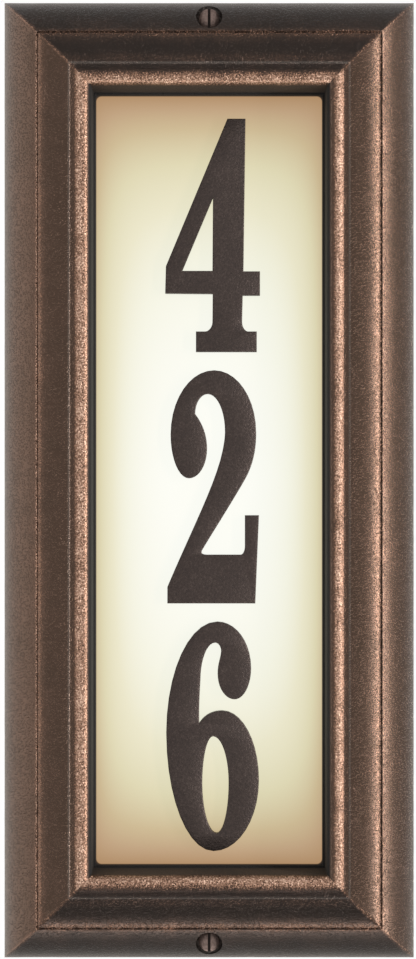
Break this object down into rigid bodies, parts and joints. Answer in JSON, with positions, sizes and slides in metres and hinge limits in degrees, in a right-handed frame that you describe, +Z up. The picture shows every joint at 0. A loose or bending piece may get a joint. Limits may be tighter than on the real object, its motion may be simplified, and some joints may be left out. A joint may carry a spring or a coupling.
{
  "type": "illuminated house number sign",
  "caption": "Tall wall-mounted house number sign: a mitred cast frame round a backlit opal lens with raised numerals, lamps and wiring inside.",
  "frame": {"origin": "centre of the sign on the wall plane, on the back of the pan", "axes": "+X to the viewer's right, +Z up, front faces -Y"},
  "size_m": [0.178, 0.045, 0.415],
  "materials": {
    "cast_bronze": "textured dark bronze with rubbed copper highlights",
    "bronze_numeral": "fine pebbled dark bronze",
    "bronze_screw": "dark bronze, worn at the slot",
    "lens_opal": "translucent opal sheet, lit from behind",
    "soft_rubber": "soft black",
    "seal_foam": "closed-cell foam",
    "foam_tape": "white foam tape",
    "spring_steel": "zinc-plated strip",
    "zinc_steel": "bright zinc",
    "nylon": "natural nylon",
    "turned_brass": "turned",
    "aluminium_sheet": "mill finish",
    "white_enamel": "gloss white",
    "phenolic_black": "moulded",
    "lamp_glass": "clear glass",
    "tungsten": "drawn wire",
    "lead_black": "insulated lead",
    "lead_white": "insulated lead"
  },
  "bodies": {
    "housing": {"back_pan": "aluminium_sheet", "wall_seal": "seal_foam", "reflector_tray": "white_enamel", "tray_rivets": "zinc_steel", "top_post": "turned_brass", "bottom_post": "turned_brass", "wire_grommet": "soft_rubber", "lamp_holder": "phenolic_black", "holder_screws": "zinc_steel", "lamp_contacts": "turned_brass", "terminal_block": "nylon", "terminal_screws": "turned_brass", "lead_black": "lead_black", "lead_white": "lead_white"},
    "front": {"front_frame": "cast_bronze", "lens": "lens_opal", "lens_gasket": "soft_rubber", "lens_clips": "spring_steel", "clip_screws": "zinc_steel", "digit_four": "bronze_numeral", "digit_four_tape": "foam_tape", "digit_two": "bronze_numeral", "digit_two_tape": "foam_tape", "digit_six": "bronze_numeral", "digit_six_tape": "foam_tape"},
    "top_screw_body": {"top_screw": "bronze_screw", "top_retainer": "nylon"},
    "bottom_screw_body": {"bottom_screw": "bronze_screw", "bottom_retainer": "nylon"},
    "upper_lamp": {"upper_lamp_glass": "lamp_glass", "upper_lamp_filament": "tungsten"},
    "lower_lamp": {"lower_lamp_glass": "lamp_glass", "lower_lamp_filament": "tungsten"}
  },
  "joints": [
    {"name": "front_lift", "type": "slide", "parent": "housing", "child": "front", "axis": [0, -1, 0], "range_m": [0, 0.06]},
    {"name": "top_screw_turn", "type": "hinge", "parent": "front", "child": "top_screw_body", "pos_m": [0, -0.03, 0.1999], "axis": [0, 1, 0], "continuous": true},
    {"name": "bottom_screw_turn", "type": "hinge", "parent": "front", "child": "bottom_screw_body", "pos_m": [0, -0.03, -0.1999], "axis": [0, 1, 0], "continuous": true},
    {"name": "upper_lamp_pull", "type": "slide", "parent": "housing", "child": "upper_lamp", "axis": [0, 0, 1], "range_m": [0, 0.012]},
    {"name": "lower_lamp_pull", "type": "slide", "parent": "housing", "child": "lower_lamp", "axis": [0, 0, -1], "range_m": [0, 0.012]}
  ]
}
